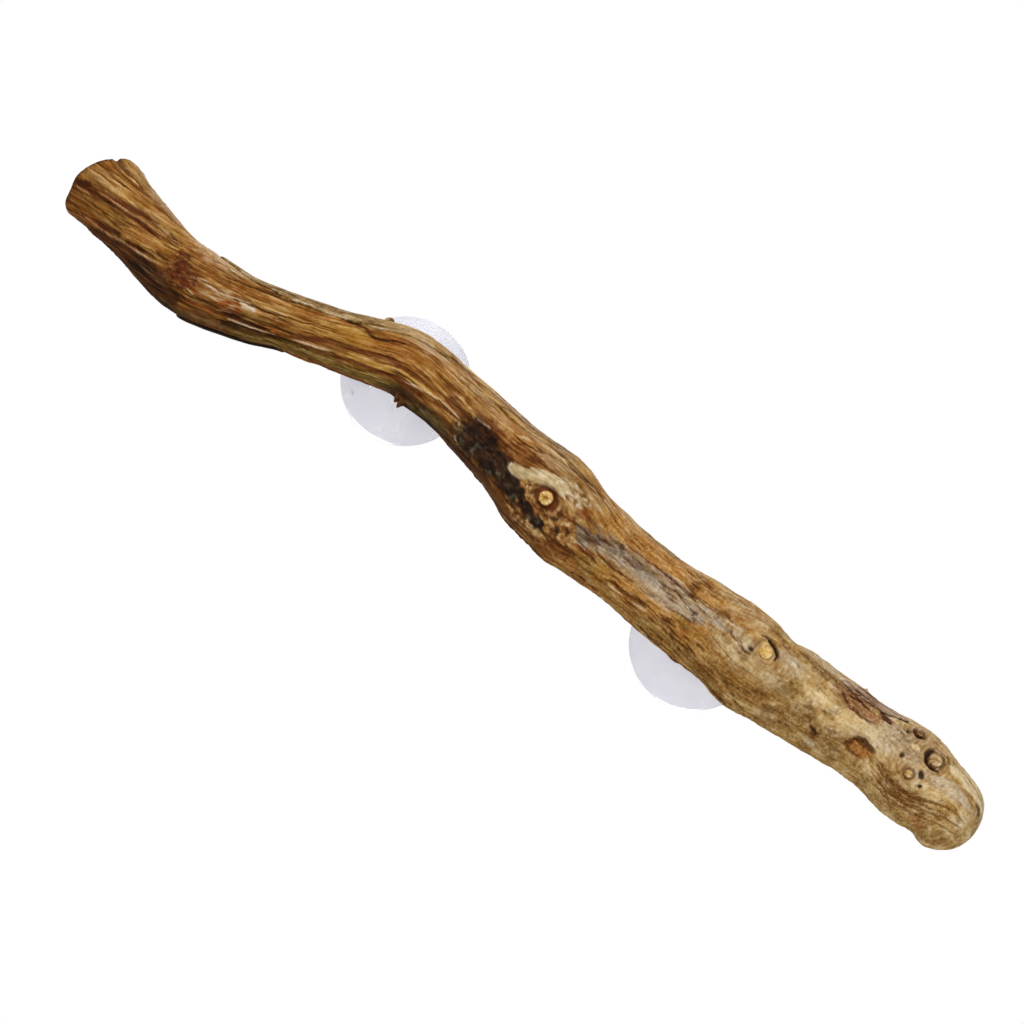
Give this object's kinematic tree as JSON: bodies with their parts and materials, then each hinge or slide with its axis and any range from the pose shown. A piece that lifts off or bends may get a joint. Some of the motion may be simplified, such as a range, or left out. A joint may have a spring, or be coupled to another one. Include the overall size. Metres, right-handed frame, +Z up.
{
  "type": "reptile branch",
  "caption": "Crooked peeled wooden limb with dead knots and torn bark, held along terrarium glass by clear suction cups that screw into inserts in its back.",
  "frame": {"origin": "on the glass plane, midway between the centres of the two suction cups", "axes": "+X to the right along the glass, +Y into the glass, away from the viewer, +Z up the glass"},
  "size_m": [0.3124, 0.0496, 0.2364],
  "materials": {
    "limb_wood": "dry peeled wood, sanded at the lower end",
    "knot_wood": "pale dead heartwood",
    "bark": "rough dark bark",
    "insert_brass": "turned",
    "washer_steel": "plain",
    "stud_steel": "zinc plated",
    "cup_vinyl": "soft clear vinyl, slightly milky"
  },
  "bodies": {
    "branch": {"limb": "limb_wood", "upper_knot": "knot_wood", "middle_knot": "knot_wood", "lower_knot": "knot_wood", "small_knots": "knot_wood", "top_bark": "bark", "under_bark": "bark", "flake_bark": "bark", "upper_insert": "insert_brass", "lower_insert": "insert_brass"},
    "upper_spacer": {"upper_washer": "washer_steel"},
    "lower_spacer": {"lower_washer": "washer_steel"},
    "upper_sucker": {"upper_cup": "cup_vinyl", "upper_stud": "stud_steel"},
    "lower_sucker": {"lower_cup": "cup_vinyl", "lower_stud": "stud_steel"}
  },
  "joints": [
    {"name": "upper_draw", "type": "slide", "parent": "branch", "child": "upper_spacer", "axis": [0, 1, 0], "range_m": [0, 0.0071]},
    {"name": "upper_screw", "type": "hinge", "parent": "upper_spacer", "child": "upper_sucker", "pos_m": [-0.05046, -0.018, 0.04624], "axis": [0, 1, 0], "range_deg": [0, 3600]},
    {"name": "lower_draw", "type": "slide", "parent": "branch", "child": "lower_spacer", "axis": [0, 1, 0], "range_m": [0, 0.0071]},
    {"name": "lower_screw", "type": "hinge", "parent": "lower_spacer", "child": "lower_sucker", "pos_m": [0.05046, -0.018, -0.04624], "axis": [0, 1, 0], "range_deg": [0, 3600]}
  ],
  "couplings": [
    {"joint": "upper_draw", "follows": "upper_screw", "m_per_rad": 0.00011141},
    {"joint": "lower_draw", "follows": "lower_screw", "m_per_rad": 0.00011141}
  ]
}
